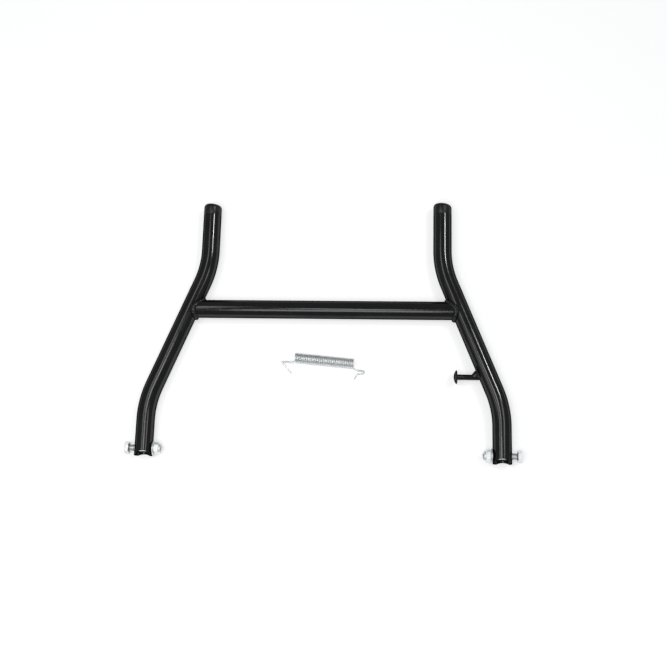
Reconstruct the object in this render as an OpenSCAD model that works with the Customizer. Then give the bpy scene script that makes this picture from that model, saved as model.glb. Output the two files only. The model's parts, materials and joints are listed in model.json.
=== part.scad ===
// Folding stand for a bicycle trailer, lying flat as it comes out of its bag.
// Two mirrored legs of bent steel tube are welded to a crossbar. Each leg has a soft cap on its
// foot and a saddle-cut end with a loose pivot bolt. The return spring lies unhooked between the legs.
// X runs across the legs, Y from the pivots to the feet, and Z up from the surface it lies on.
// The origin is at the middle of the whole outline, on that surface. Sizes are in millimetres.

/* [Tube] */
// Outside diameter of the leg and crossbar tube
tube_od = 22.2; // [19:0.1:26]
// Wall thickness of the tube
tube_wall = 1.8; // [1.2:0.1:2.5]
// Radius of the tube's centreline in each bend
bend_radius = 110; // [90:5:120]

/* [Frame] */
// Distance between the two legs' centrelines at the feet
foot_spacing = 286; // [240:1:330]
// Distance between the two legs' centrelines at the pivots
pivot_spacing = 423; // [390:1:470]
// From the crossbar's centreline to the tips of the feet
crossbar_to_foot = 134.5; // [120:0.5:180]
// From the crossbar's centreline to the saddle-cut ends
crossbar_to_pivot_end = 180.5; // [178:0.5:230]
// From the crossbar's centreline to the corner of the upper bend
crossbar_to_upper_bend = 53; // [45:1:65]
// From the crossbar's centreline to the corner of the lower bend
crossbar_to_lower_bend = 115.5; // [112:0.5:118]
// How far from the leg's axis the pointed lips of the crossbar's ends are trimmed off
lip_trim = 5.5; // [4:0.5:7]
// Radius of the weld bead at the flanks of the crossbar's ends
weld_size = 3.2; // [2.5:0.1:4]
// Radius of the weld bead where it crosses over the top
weld_crest_size = 4.3; // [3.8:0.1:5]

/* [Saddle ends] */
// Diameter of the round cut across each pivot end
saddle_d = 23; // [21:0.1:27]
// Depth of the cut at the tube's mid height
saddle_depth = 3.9; // [3:0.1:5.5]
// Tilt of the cut, which makes it deeper in the upper wall, in degrees
saddle_tilt = 10.5; // [0:0.5:14]
// Lean of the cut's upper side towards the other leg, in degrees
saddle_lean = 7; // [0:0.5:12]
// From the end of the tube to the bolt's axis
bolt_edge_distance = 9; // [7:0.1:14]
// Radial running gap between the bolt and its holes in the tube
pivot_clearance = 0.08; // [0.03:0.01:0.1]

/* [Pivot bolts] */
// Thread diameter of the pivot bolts
bolt_d = 8; // [6:0.5:9]
// Length of the bolt under its head
bolt_len = 40; // [40:0.5:50]
// Width across the flats of the bolt's head
head_af = 13; // [12:0.5:15]
// Height of the bolt's head
head_h = 5.3; // [4:0.1:7]
// Space left between the head and the tube for the trailer's lug
lug_gap = 6.2; // [4:0.1:7]
// Bevel on the bolt's tip
bolt_bevel = 1; // [0.5:0.1:1.5]

/* [Nuts and washers] */
// Outside diameter of the washer
washer_od = 17.5; // [14:0.5:20.5]
// Play of the washer's hole over the bolt's diameter
washer_play = 0.4; // [0.2:0.1:1]
// Thickness of the washer
washer_h = 1.6; // [1:0.1:2]
// Running gap between the washer and the tube
washer_gap = 0.3; // [0.2:0.05:0.6]
// Width across the flats of the lock nut
nut_af = 13; // [12.5:0.5:15]
// Height of the lock nut's hexagon
nut_hex_h = 5.8; // [5:0.1:6]
// Height of the round collar above the hexagon
collar_h = 2.2; // [1.8:0.1:2.6]
// Wall of the round collar
collar_wall = 0.9; // [0.7:0.1:1.1]
// Thickness of the plastic ring in the collar
insert_h = 1.9; // [1.2:0.1:2.2]
// Lip of the collar turned in over the plastic ring
collar_lip = 0.6; // [0.4:0.1:0.7]

/* [Foot caps] */
// Length of the cap that shows beyond the tube
cap_len = 14.5; // [12:0.5:20]
// Rounding of the cap's edge
cap_edge_r = 4.5; // [3:0.1:5.5]
// Height of the cap's shallow crown inside the rounded edge
cap_crown = 0.7; // [0.3:0.1:1.2]
// Length of the plug inside the tube
plug_len = 16; // [10:1:24]
// Wall of the plug
plug_wall = 1.6; // [1.2:0.1:2]
// Height of each sealing rib on the plug
plug_rib_h = 0.9; // [0.5:0.1:1.2]
// Number of sealing ribs on the plug
plug_ribs = 4; // [2:1:5]
// Gap between the ribs and the tube's bore
plug_clearance = 0.1; // [0.05:0.05:0.2]
// Solid thickness at the tip of the cap
cap_tip = 4; // [3:0.5:6]

/* [Spring peg] */
// From the crossbar's centreline to the peg's axis
crossbar_to_peg = 80; // [70:1:85]
// Diameter of the peg's shank
peg_d = 6.5; // [5:0.1:8]
// From the leg's wall to the crown of the peg's head
peg_len = 29; // [22:0.5:34]
// Diameter of the peg's thin domed head
peg_head_d = 16.4; // [13:0.1:20]
// Depth of the dome
peg_head_dome = 2.8; // [2:0.1:3.5]
// Thickness of the domed head
peg_head_t = 1.8; // [1.2:0.1:2.4]
// Radius of the weld's foot on the leg
peg_weld_r = 6.4; // [5.5:0.1:7.5]
// Height of the weld above the leg's wall
peg_weld_h = 5.6; // [4.5:0.1:7]
// How far the weld's foot lies from the peg's axis towards the crossbar
peg_weld_shift = 3.2; // [1:0.1:4]

/* [Return spring] */
// Outside diameter of the coil
spring_od = 13; // [11:0.1:15]
// Diameter of the spring wire
wire_d = 2.2; // [1.6:0.1:2.4]
// Gap between one turn and the next
turn_gap = 0.04; // [0.02:0.01:0.3]
// Number of full turns
spring_turns = 32; // [24:1:36]
// From the coil's end to the point of the left hook
left_hook_reach = 16; // [14:0.5:20]
// From the coil's end to the point of the right hook
right_hook_reach = 13; // [11.5:0.5:16]
// From the coil's axis to the tips of both hooks
hook_tip = 19; // [17.5:0.5:21]
// How far the spring's middle lies to the right of the stand's middle
spring_x = 2; // [-10:1:10]
// From the crossbar's centreline to the spring's middle
crossbar_to_spring = 62; // [50:1:80]
// How far the spring is turned clockwise, seen from above
spring_turned = 5; // [0:0.5:15]

/* [Hidden] */
$fn = 96;

powder_black = [0.11, 0.11, 0.12];
moulded_black = [0.16, 0.16, 0.16];
zinc = [0.78, 0.80, 0.82];
nylon = [0.88, 0.88, 0.86];

// Overshoot of every cut past the face that it opens
cut = 1;

tube_r = tube_od / 2;
bore_r = tube_r - tube_wall;
foot_x = foot_spacing / 2;
pivot_x = pivot_spacing / 2;
slant_dx = pivot_x - foot_x;
slant_dy = crossbar_to_upper_bend + crossbar_to_lower_bend;
slant_angle = atan2(slant_dx, slant_dy);
slant_len = norm([slant_dx, slant_dy]);
bend_tangent = bend_radius * tan(slant_angle / 2);
// The tube loses this much of its radius where it is bent, over a short taper round the bend's start
bend_slimming = 0.05;
bend_taper = 2;
// Angle by which a bend reaches into the straight run before it, past the taper
bend_lap = 0.75 * bend_taper / bend_radius * 180 / PI;

crossbar_y = (crossbar_to_pivot_end - crossbar_to_foot) / 2;
foot_tip_y = crossbar_y + crossbar_to_foot;
foot_tube_y = foot_tip_y - cap_len;
pivot_end_y = crossbar_y - crossbar_to_pivot_end;
upper_bend_y = crossbar_y + crossbar_to_upper_bend;
lower_bend_y = crossbar_y - crossbar_to_lower_bend;
// Where the crossbar's axis crosses a leg's axis
crossing_x = foot_x + crossbar_to_upper_bend * tan(slant_angle);

saddle_r = saddle_d / 2;
saddle_y = pivot_end_y + saddle_depth - saddle_r;

bolt_y = pivot_end_y + bolt_edge_distance;
bolt_r = bolt_d / 2;
hole_r = bolt_r + pivot_clearance;
head_seat_x = pivot_x + tube_r + lug_gap;
washer_x = pivot_x - tube_r - washer_gap;
nut_x = washer_x - washer_h;
nut_h = nut_hex_h + collar_h;
collar_r = nut_af / 2 - 0.4;
insert_r = collar_r - collar_wall;
insert_top = nut_h - collar_lip;

// The slanted run passes the peg's height at this place
peg_axis_x = crossing_x + crossbar_to_peg * tan(slant_angle);
peg_y = crossbar_y - crossbar_to_peg;
peg_wall_x = peg_axis_x - tube_r / cos(slant_angle);
peg_crown_x = peg_wall_x - peg_len;

plug_r = bore_r - plug_clearance - plug_rib_h;

wire_r = wire_d / 2;
coil_r = (spring_od - wire_d) / 2;
coil_pitch = wire_d + turn_gap;
coil_len = coil_pitch * spring_turns;

// Repeats its children mirrored to the left side of the stand
module left_side() {
    mirror([1, 0, 0]) children();
}

// One bend of the leg about its own centre
module bend_bar(r) {
    rotate([0, 0, -bend_lap])
        rotate_extrude(angle = slant_angle + 2 * bend_lap)
            translate([bend_radius, 0]) circle(r = r - bend_slimming);
}

// One straight run along Z, tapered at its far end, and at its near end too if it lies between bends
module run_bar(r, near, far, near_taper) {
    slim_r = r - 2 * bend_slimming;
    half = bend_taper / 2;
    rotate_extrude()
        polygon([
            [0, near - near_taper * half],
            [r - near_taper * 2 * bend_slimming, near - near_taper * half],
            [r, near + near_taper * half],
            [r, far - half],
            [slim_r, far + half],
            [0, far + half]
        ]);
}

// Solid round bar along one leg's centreline, with its ends past the tube's by the given overshoot
module leg_bar(r, past) {
    translate([foot_x, foot_tube_y, tube_r])
        rotate([90, 0, 0])
            run_bar(r, -past, foot_tube_y - upper_bend_y - bend_tangent, 0);
    translate([foot_x + bend_radius, upper_bend_y + bend_tangent, tube_r])
        rotate([0, 0, 180])
            bend_bar(r);
    translate([foot_x, upper_bend_y, tube_r])
        rotate([0, 0, slant_angle])
            rotate([90, 0, 0])
                run_bar(r, bend_tangent, slant_len - bend_tangent, 1);
    translate([pivot_x - bend_radius, lower_bend_y - bend_tangent, tube_r])
        bend_bar(r);
    translate([pivot_x, pivot_end_y, tube_r])
        rotate([-90, 0, 0])
            run_bar(r, -past, lower_bend_y - bend_tangent - pivot_end_y, 0);
}

// Solid round bar over the slanted run alone, which shapes what is welded to it
module slanted_bar(r) {
    translate([foot_x, upper_bend_y, tube_r])
        rotate([0, 0, slant_angle])
            rotate([90, 0, 0])
                cylinder(r = r, h = slant_len);
}

// Slab along the slanted run that trims the crossbar's lips
module lip_slab() {
    translate([foot_x, upper_bend_y, tube_r])
        rotate([0, 0, slant_angle])
            translate([-lip_trim, -slant_len, -tube_od]) cube([2 * lip_trim, slant_len, 2 * tube_od]);
}

// Right half of the crossbar as a solid bar with a trimmed end
module crossbar_core() {
    difference() {
        translate([0, crossbar_y, tube_r])
            rotate([0, 90, 0])
                cylinder(r = tube_r, h = crossing_x);
        lip_slab();
    }
}

module leg_tube() {
    difference() {
        leg_bar(tube_r, 0);
        leg_bar(bore_r, cut);
        translate([pivot_x, saddle_y, tube_r])
            rotate([-saddle_tilt, -saddle_lean, 0])
                cylinder(r = saddle_r, h = 2 * tube_od, center = true);
        translate([pivot_x - tube_od, bolt_y, tube_r])
            rotate([0, 90, 0]) cylinder(r = hole_r, h = 2 * tube_od);
    }
}

module left_leg_tube() {
    color(powder_black) left_side() leg_tube();
}

module right_leg_tube() {
    color(powder_black) leg_tube();
}

// The crossbar's ends are coped to sit on the slanted runs of the legs, with their lips trimmed
module crossbar_tube() {
    color(powder_black)
        difference() {
            translate([-crossing_x, crossbar_y, tube_r])
                rotate([0, 90, 0])
                    difference() {
                        cylinder(r = tube_r, h = 2 * crossing_x);
                        translate([0, 0, -cut]) cylinder(r = bore_r, h = 2 * (crossing_x + cut));
                    }
            slanted_bar(tube_r);
            left_side() slanted_bar(tube_r);
            lip_slab();
            left_side() lip_slab();
        }
}

// The weld runs all round the joint as one closed bead: in the corner between the two tubes at the
// flanks, over the trimmed lips at the top, and thinner underneath, clear of the surface that the
// stand lies on. The angle s goes round the crossbar's axis.
bead_rings = 36;
bead_sides = 8;
weld_root_size = 2.4;

// How much a place belongs to the top or to the underside
function top_share(s) = pow(max(sin(s), 0), 2);
function root_share(s) = pow(min(sin(s), 0), 4);

function bead_r(s) =
    weld_size + (weld_crest_size - weld_size) * top_share(s) + (weld_root_size - weld_size) * root_share(s);

// The bead's middle runs below the tubes' surface, deeper at the top and underneath
function bead_point(s) =
    let (
        r = tube_r - 0.5 - (weld_crest_size - 2.6) * top_share(s) - (weld_root_size - 0.2) * root_share(s),
        y = r * cos(s),
        from_leg = lip_trim + (tube_r - lip_trim) * pow(cos(s), 2)
    )
    [crossing_x - (from_leg + y * sin(slant_angle)) / cos(slant_angle), crossbar_y + y, tube_r + r * sin(s)];

function unit(v) = v / norm(v);

function bead_ring(s) =
    let (
        along = unit(bead_point(s + 2) - bead_point(s - 2)),
        flat = unit(cross(along, [0, cos(s), sin(s)])),
        out = cross(flat, along)
    )
    [
        for (i = [0 : bead_sides - 1])
            let (turn = 360 * (i + 0.5) / bead_sides)
            bead_point(s) + bead_r(s) * (cos(turn) * flat + sin(turn) * out)
    ];

// Skin of a closed ring: rings rings of sides points each
function closed_faces(rings, sides) = [
    for (r = [0 : rings - 1], i = [0 : sides - 1])
        let (
            j = (i + 1) % sides,
            next = (r + 1) % rings
        )
        each [
            [r * sides + i, next * sides + i, next * sides + j],
            [r * sides + i, next * sides + j, r * sides + j]
        ]
];

// Skin of a swept bar: rings rings of sides points each, with flat ends
function sweep_faces(rings, sides) = concat(
    [[for (i = [0 : sides - 1]) i]],
    [
        for (r = [0 : rings - 2], i = [0 : sides - 1])
            let (j = (i + 1) % sides)
            each [
                [r * sides + i, (r + 1) * sides + i, (r + 1) * sides + j],
                [r * sides + i, (r + 1) * sides + j, r * sides + j]
            ]
    ],
    [[for (i = [sides - 1 : -1 : 0]) (rings - 1) * sides + i]]
);

module crossbar_weld() {
    $fn = 256;
    difference() {
        polyhedron(
            points = [for (k = [0 : bead_rings - 1]) each bead_ring(360 * (k + 0.5) / bead_rings)],
            faces = closed_faces(bead_rings, bead_sides)
        );
        crossbar_core();
        slanted_bar(tube_r);
    }
}

module left_crossbar_weld() {
    color(powder_black) left_side() crossbar_weld();
}

module right_crossbar_weld() {
    color(powder_black) crossbar_weld();
}

// One sealing rib, a thin blade that leans towards the open end of the tube
module plug_rib() {
    polygon([
        [-plug_wall / 2, 0],
        [0, 0],
        [plug_rib_h, 0.5],
        [plug_rib_h, 0.9],
        [0, 1.6],
        [-plug_wall / 2, 1.6]
    ]);
}

// Outline of the cap's end, from the tube's width inwards: a rounded edge, which the angle b runs
// along, and a shallow crown within it
cap_steps = 6;
cap_edge_start = 15;

function cap_edge(b) = [
    tube_r - cap_edge_r * (1 - sin(b)),
    cap_len - cap_crown - cap_edge_r * (1 - cos(b))
];

cap_rim = cap_edge(cap_edge_start);
cap_end = concat(
    [for (i = [cap_steps : -1 : 0]) cap_edge(cap_edge_start + (90 - cap_edge_start) * i / cap_steps)],
    [
        for (i = [cap_steps - 1 : -1 : 1])
            let (fall = pow((i - 1) / (cap_steps - 1), 2))
            [cap_rim.x * i / cap_steps, cap_len - fall * (cap_len - cap_rim.y)]
    ],
    [[0, cap_len]]
);

module foot_cap() {
    translate([foot_x, foot_tube_y, tube_r])
        rotate([-90, 0, 0])
            difference() {
                rotate_extrude() {
                    polygon(concat([[0, 0], [tube_r, 0]], cap_end));
                    translate([0, -plug_len]) square([plug_r, plug_len + cut]);
                    for (i = [1 : plug_ribs])
                        translate([plug_r, -plug_len * i / (plug_ribs + 0.5)]) plug_rib();
                }
                translate([0, 0, -plug_len - cut])
                    cylinder(r = plug_r - plug_wall, h = plug_len + cut + cap_len - cap_tip);
            }
}

module left_foot_cap() {
    color(moulded_black) left_side() foot_cap();
}

module right_foot_cap() {
    color(moulded_black) foot_cap();
}

// The peg for the spring's hook: a round shank with a thin domed head, coped to the leg
module spring_peg() {
    head_r = peg_head_d / 2;
    dome_r = (pow(head_r, 2) + pow(peg_head_dome, 2)) / (2 * peg_head_dome);
    color(powder_black)
        difference() {
            translate([peg_crown_x, peg_y, tube_r])
                rotate([0, 90, 0])
                    rotate_extrude() {
                        intersection() {
                            difference() {
                                translate([0, dome_r]) circle(r = dome_r);
                                translate([0, dome_r]) circle(r = dome_r - peg_head_t);
                            }
                            square([head_r, peg_head_dome + peg_head_t]);
                        }
                        translate([0, peg_head_t / 2])
                            square([peg_d / 2, peg_axis_x - peg_crown_x - peg_head_t / 2]);
                    }
            slanted_bar(tube_r);
        }
}

// The weld fills the corner between the peg and the leg, more on the side of the crossbar
module spring_peg_weld() {
    color(powder_black)
        difference() {
            translate([peg_axis_x, peg_y, tube_r])
                rotate([0, 0, slant_angle])
                    translate([-tube_r + 1, (tube_r - 1) * tan(slant_angle) + peg_weld_shift, 0])
                        rotate([0, -90, 0])
                            cylinder(r1 = peg_weld_r, r2 = peg_d / 2, h = peg_weld_h + 1);
            slanted_bar(tube_r);
            translate([peg_crown_x, peg_y, tube_r])
                rotate([0, 90, 0]) cylinder(r = peg_d / 2, h = peg_len + tube_od);
        }
}

// Puts a turned part with its axis on the pivot's axis, pointing away from the other leg
module on_pivot_axis(x) {
    translate([x, bolt_y, tube_r]) rotate([0, 90, 0]) children();
}

// Hexagon with both rims turned to a shallow bevel
module bevelled_hexagon(af, h) {
    corner_r = af / sqrt(3);
    bevel = (corner_r - af / 2) * tan(30) + 0.2;
    intersection() {
        rotate([0, 0, 30]) cylinder(r = corner_r, h = h, $fn = 6);
        rotate_extrude()
            polygon([
                [0, 0],
                [af / 2 - 0.2, 0],
                [af / 2 - 0.2 + bevel / tan(30), bevel],
                [af / 2 - 0.2 + bevel / tan(30), h - bevel],
                [af / 2 - 0.2, h],
                [0, h]
            ]);
    }
}

module pivot_bolt() {
    on_pivot_axis(head_seat_x) {
        bevelled_hexagon(head_af, head_h);
        translate([0, 0, -bolt_len])
            rotate_extrude()
                polygon([
                    [0, 0],
                    [bolt_r - bolt_bevel, 0],
                    [bolt_r, bolt_bevel],
                    [bolt_r, bolt_len + head_h / 2],
                    [0, bolt_len + head_h / 2]
                ]);
    }
}

module left_pivot_bolt() {
    color(zinc) left_side() pivot_bolt();
}

module right_pivot_bolt() {
    color(zinc) pivot_bolt();
}

module washer() {
    on_pivot_axis(nut_x)
        difference() {
            cylinder(r = washer_od / 2, h = washer_h);
            translate([0, 0, -cut]) cylinder(r = bolt_r + washer_play / 2, h = washer_h + 2 * cut);
        }
}

module left_washer() {
    color(zinc) left_side() washer();
}

module right_washer() {
    color(zinc) washer();
}

// The nut stands with its hexagon on the washer and its collar towards the other leg
module lock_nut() {
    on_pivot_axis(nut_x)
        rotate([180, 0, 0])
            difference() {
                union() {
                    bevelled_hexagon(nut_af, nut_hex_h);
                    cylinder(r = collar_r, h = nut_h - collar_lip);
                    translate([0, 0, nut_h - collar_lip])
                        cylinder(r1 = collar_r, r2 = collar_r - collar_lip, h = collar_lip);
                }
                translate([0, 0, -cut]) cylinder(r = bolt_r, h = nut_h + 2 * cut);
                translate([0, 0, insert_top - insert_h]) cylinder(r = insert_r, h = insert_h);
                translate([0, 0, insert_top - cut / 2])
                    cylinder(r = insert_r - collar_lip, h = cut + collar_lip);
            }
}

module left_lock_nut() {
    color(zinc) left_side() lock_nut();
}

module right_lock_nut() {
    color(zinc) lock_nut();
}

module nut_insert() {
    on_pivot_axis(nut_x)
        rotate([180, 0, 0])
            translate([0, 0, insert_top - insert_h])
                difference() {
                    cylinder(r = insert_r, h = insert_h);
                    translate([0, 0, -cut]) cylinder(r = bolt_r, h = insert_h + 2 * cut);
                }
}

module left_nut_insert() {
    color(nylon) left_side() nut_insert();
}

module right_nut_insert() {
    color(nylon) nut_insert();
}

// The spring is one wire. Its coil runs along X, and both hooks lie on its -Y side, with their
// tips dropped to the surface. Corners of the wire are rounded with short curves.
wire_sides = 6;
turn_steps = 14;
coil_steps = turn_steps * spring_turns;
corner_steps = 4;
hook_corner = 2;
// Turn of the coil that the corner into each hook takes up
coil_start = hook_corner / coil_r * 180 / PI;

function coil_point(turn) = [
    coil_len * (turn / 360 / spring_turns - 0.5),
    -coil_r * cos(turn),
    -coil_r * sin(turn)
];

coil = [
    for (i = [0 : coil_steps])
        coil_point(coil_start + (360 * spring_turns - 2 * coil_start) * i / coil_steps)
];

// Points of a rounded corner at b, on the way from a to c
function corner(a, b, c, r) =
    let (
        from = b + r * unit(a - b),
        to = b + r * unit(c - b)
    )
    [
        for (i = [0 : corner_steps])
            let (t = i / corner_steps)
            pow(1 - t, 2) * from + 2 * t * (1 - t) * b + pow(t, 2) * to
    ];

// Corners of each hook, from the coil's end to the tip
left_root = coil_point(0);
left_point = [-coil_len / 2 - left_hook_reach, -coil_r - wire_d / 3, 0];
left_tip = [-coil_len / 2 - wire_d, -hook_tip, 0];
right_root = coil_point(360 * spring_turns);
right_shoulder = [coil_len / 2 + 1.5 * wire_d, -coil_r - wire_d, 0];
right_point = [coil_len / 2 + right_hook_reach, -coil_r - wire_d, 0];
right_return = [coil_len / 2 + right_hook_reach, -coil_r - 2.4 * wire_d, 0];
right_elbow = [coil_len / 2 + 2.2 * wire_d, -coil_r - 3 * wire_d, 0];
right_tip = [coil_len / 2 + wire_d, -hook_tip, 0];

wire_path = concat(
    [left_tip],
    corner(left_tip, left_point, left_root, hook_corner),
    corner(left_point, left_root, coil[0], hook_corner),
    [for (i = [1 : coil_steps - 1]) coil[i]],
    corner(coil[coil_steps], right_root, right_shoulder, hook_corner),
    corner(right_root, right_shoulder, right_point, hook_corner / 2),
    corner(right_shoulder, right_point, right_return, wire_d / 2),
    corner(right_point, right_return, right_elbow, wire_d / 2),
    corner(right_return, right_elbow, right_tip, hook_corner),
    [right_tip]
);

wire_last = len(wire_path) - 1;

function wire_along(i) = unit(wire_path[min(i + 1, wire_last)] - wire_path[max(i - 1, 0)]);

// A direction square to the wire that is carried along it with no twist
wire_side = [
    for (
        i = 0, side = [0, 0, 1];
        i <= wire_last;
        i = i + 1,
        side = unit(side - (side * wire_along(min(i, wire_last))) * wire_along(min(i, wire_last)))
    )
    side
];

module return_spring() {
    dip = asin((spring_od / 2 - wire_r * 1.05) / hook_tip);
    color(zinc)
        translate([spring_x, crossbar_y - crossbar_to_spring, spring_od / 2])
            rotate([0, 0, -spring_turned])
                rotate([dip, 0, 0])
                    polyhedron(
                        points = [
                            for (i = [0 : wire_last])
                                let (
                                    up = wire_side[i],
                                    across = cross(wire_along(i), up)
                                )
                                for (k = [0 : wire_sides - 1])
                                    let (turn = 360 * k / wire_sides)
                                    wire_path[i] + wire_r * (cos(turn) * up + sin(turn) * across)
                        ],
                        faces = sweep_faces(wire_last + 1, wire_sides)
                    );
}

left_leg_tube();
right_leg_tube();
crossbar_tube();
left_crossbar_weld();
right_crossbar_weld();
left_foot_cap();
right_foot_cap();
spring_peg();
spring_peg_weld();
left_pivot_bolt();
right_pivot_bolt();
left_washer();
right_washer();
left_lock_nut();
right_lock_nut();
left_nut_insert();
right_nut_insert();
return_spring();
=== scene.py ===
# %% [markdown]
# This lesson dresses a folding stand for a bicycle trailer. The stand lies flat: two bent legs, a
# crossbar welded between them, a bolt through each pivot end, and a loose return spring.
# The engineering model gives the solids and their places. Here each one gets the smooth surface,
# the small details and the finish that the eye expects of it.

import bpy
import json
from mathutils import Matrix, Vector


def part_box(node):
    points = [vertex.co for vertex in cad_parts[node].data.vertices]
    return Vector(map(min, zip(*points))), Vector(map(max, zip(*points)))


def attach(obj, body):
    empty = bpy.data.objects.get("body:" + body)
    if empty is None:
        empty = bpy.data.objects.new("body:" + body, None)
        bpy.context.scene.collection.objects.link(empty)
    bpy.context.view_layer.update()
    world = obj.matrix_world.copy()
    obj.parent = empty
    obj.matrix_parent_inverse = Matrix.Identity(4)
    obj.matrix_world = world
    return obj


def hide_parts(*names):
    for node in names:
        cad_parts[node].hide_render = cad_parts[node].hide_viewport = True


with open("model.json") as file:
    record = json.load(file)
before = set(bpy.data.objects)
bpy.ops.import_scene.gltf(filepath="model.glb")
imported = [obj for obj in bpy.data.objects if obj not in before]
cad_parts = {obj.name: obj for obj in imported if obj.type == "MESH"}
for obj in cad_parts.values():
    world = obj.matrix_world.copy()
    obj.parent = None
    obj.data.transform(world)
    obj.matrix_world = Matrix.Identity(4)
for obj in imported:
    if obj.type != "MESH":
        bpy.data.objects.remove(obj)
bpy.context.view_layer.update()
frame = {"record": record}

# %% Other modules that the lesson uses
import json
from math import asin, atan2, cos, degrees, hypot, pi, radians, sin, sqrt, tan

import bmesh
import bpy
from mathutils import Matrix, Vector

# %% [markdown]
# The sizes below repeat the named values of the engineering model, in metres. Everything else in
# the script is worked out from them, so that a new bend or a thicker tube moves all that sits on it.

# %% Sizes of the stand
MM = 0.001
TUBE_R = 11.1 * MM
TUBE_WALL = 1.8 * MM
BEND_R = 110 * MM
FOOT_X = 143 * MM
PIVOT_X = 211.5 * MM
CROSSBAR_Y = 23 * MM
FOOT_TIP_Y = CROSSBAR_Y + 134.5 * MM
PIVOT_END_Y = CROSSBAR_Y - 180.5 * MM
UPPER_Y = CROSSBAR_Y + 53 * MM
LOWER_Y = CROSSBAR_Y - 115.5 * MM
SLANT = atan2(PIVOT_X - FOOT_X, UPPER_Y - LOWER_Y)
SLANT_LENGTH = hypot(PIVOT_X - FOOT_X, UPPER_Y - LOWER_Y)
BEND_TANGENT = BEND_R * tan(SLANT / 2)
CROSSING_X = FOOT_X + (UPPER_Y - CROSSBAR_Y) * tan(SLANT)
CAP_LENGTH = 14.5 * MM
BOLT_Y = PIVOT_END_Y + 9 * MM
ALONG_SLANT = Vector((sin(SLANT), -cos(SLANT), 0))
print("the legs lean by", round(degrees(SLANT), 2), "degrees")

# %% [markdown]
# Most pieces of the stand are round bars that change direction: tubes, weld beads, spring wire.
# A round bar could be a curve with a bevel depth. Here it is a ring of edges that is pulled along,
# because the end of a pulled ring can still be shaped afterwards, as the saddle cut needs.


# %% A ring of edges, and ways to pull it along
def ring(bm, centre, direction, radius, sides):
    """A ring of edges round centre, square to direction."""
    turn = Vector(direction).to_track_quat("Z", "Y").to_matrix().to_4x4()
    made = bmesh.ops.create_circle(
        bm, cap_ends=False, segments=sides, radius=radius, matrix=Matrix.Translation(centre) @ turn
    )
    return edges_between(made["verts"])


def edges_between(verts):
    """The edges whose two ends are both among verts."""
    chosen = set(verts)
    return list({e for v in chosen for e in v.link_edges if e.other_vert(v) in chosen})


def corners(edges):
    """The vertices that the edges run between."""
    return list({v for e in edges for v in e.verts})


def only_verts(geometry):
    """The vertices among all that an operator hands back."""
    return [g for g in geometry if isinstance(g, bmesh.types.BMVert)]


def grow(bm, edges):
    """Extrudes a ring without moving it and returns its new vertices."""
    return only_verts(bmesh.ops.extrude_edge_only(bm, edges=edges)["geom"])


def pull(bm, edges, shift):
    """Extrudes a ring by a straight shift and returns the new ring."""
    verts = grow(bm, edges)
    bmesh.ops.translate(bm, verts=verts, vec=Vector(shift))
    return edges_between(verts)


def swing(bm, edges, centre, axis, angle, steps, climb=0.0):
    """Spins a ring about an axis and returns the ring that it ends on. A climb makes it a screw."""
    last = bmesh.ops.spin(
        bm, geom=corners(edges) + edges, cent=Vector(centre), axis=Vector(axis), angle=angle,
        dvec=Vector(axis) * climb / steps, steps=steps,
    )["geom_last"]
    return edges_between(only_verts(last))


def follow(bm, edges, path, widths):
    """Pulls a ring along a path. Each step turns it with the path and scales it to the next width."""
    before, after = [path[0]] + path[:-1], path[1:] + [path[-1]]
    tangents = [(b - a).normalized() for a, b in zip(before, after)]
    for i in range(1, len(path)):
        verts = grow(bm, edges)
        turn = tangents[i - 1].rotation_difference(tangents[i]).to_matrix()
        swell = Vector((1, 1, 1)) * widths[i] / widths[i - 1]
        bmesh.ops.scale(bm, verts=verts, vec=swell, space=Matrix.Translation(-path[i - 1]))
        bmesh.ops.rotate(bm, verts=verts, cent=path[i - 1], matrix=turn)
        bmesh.ops.translate(bm, verts=verts, vec=path[i] - path[i - 1])
        edges = edges_between(verts)
    return edges


def close_ends(bm):
    """Fills every open rim with a face."""
    bmesh.ops.holes_fill(bm, edges=[e for e in bm.edges if e.is_boundary], sides=0)


flat_by = TUBE_R / MM * (1 - cos(pi / 96))
print("a tube of 96 sides stays within", round(flat_by, 3), "mm of a round one")

# %% [markdown]
# A finished piece needs the same few steps each time. Its faces are turned to point outwards, edges
# sharper than a limit are kept crisp, and the piece is tied to the moving body of the part that it
# stands for. A left piece is the right one mirrored, which turns it inside out, so the faces are
# turned again after the mirror.

# %% Turn a bmesh into a finished piece
BODIES = frame["record"]["behaviour"]["bodies"]
BODY_OF = {node: body for body, nodes in BODIES.items() for node in nodes}
made_pieces = {}


def finish_piece(bm, node, material, sharp=32, mirrored=False, join=0.004 * MM):
    """Writes bm to an object that replaces the named part of the engineering model."""
    if mirrored:
        bmesh.ops.scale(bm, verts=bm.verts, vec=Vector((-1, 1, 1)))
    bmesh.ops.remove_doubles(bm, verts=bm.verts, dist=join)
    bmesh.ops.recalc_face_normals(bm, faces=bm.faces)
    open_edges = sum(not e.is_manifold for e in bm.edges)
    mesh = bpy.data.meshes.new(node + "_look")
    bm.to_mesh(mesh)
    bm.free()
    mesh.shade_smooth()
    mesh.set_sharp_from_angle(angle=radians(sharp))
    mesh.materials.append(material)
    piece = bpy.data.objects.new(node + "_look", mesh)
    bpy.context.scene.collection.objects.link(piece)
    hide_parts(node)
    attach(piece, BODY_OF[node])
    made_pieces[node] = piece
    off = 0.0
    for k, (low, high) in enumerate(zip(*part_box(node))):
        places = [v.co[k] for v in mesh.vertices]
        off = max(off, abs(min(places) - low), abs(max(places) - high))
    print(f"{node}: {len(mesh.polygons)} faces, {open_edges} open edges, box within {off / MM:.2f} mm")


# %% [markdown]
# Powder coat, moulded plastic and zinc plating all have a surface that is not quite flat. One node
# group gives that to every finish: a soft waviness and a finer grain, each with its own size and
# height. A second group gives a mask of uneven spots, which each finish uses for its own smudges.
# Groups keep such effects in one place, while the shader itself stays in each material.


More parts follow.
